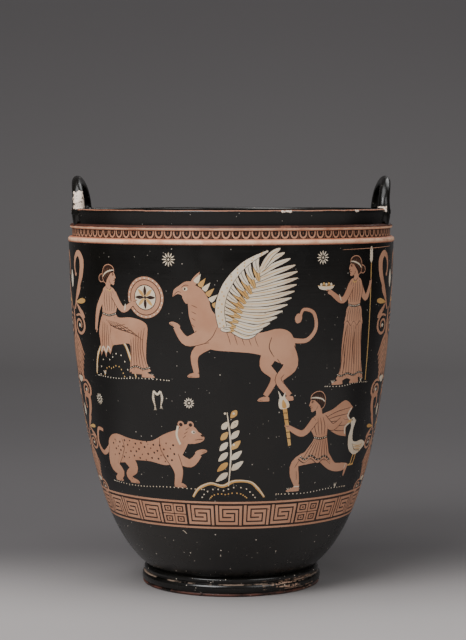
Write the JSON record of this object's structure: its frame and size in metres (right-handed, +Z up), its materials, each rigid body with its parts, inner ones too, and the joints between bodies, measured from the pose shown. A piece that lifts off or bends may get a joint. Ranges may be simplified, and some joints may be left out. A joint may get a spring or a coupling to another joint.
{
  "type": "situla",
  "caption": "Terracotta bucket-shaped vessel on a moulded ring foot, with an upright loop handle on each side of the rim and red-figure painting on black gloss.",
  "frame": {"origin": "centre of the foot's underside, on the surface that the vessel stands on", "axes": "+Z up along the axis of the wheel-thrown body; the loop handles stand on +X and -X; the main painted side faces -Y"},
  "size_m": [0.25, 0.25, 0.3132],
  "materials": {
    "black_gloss": "black gloss slip over fired terracotta, with reserved orange-pink figures and bands, added white and yellow; worn and chipped"
  },
  "bodies": {
    "root": {"situla": "black_gloss"}
  },
  "joints": []
}
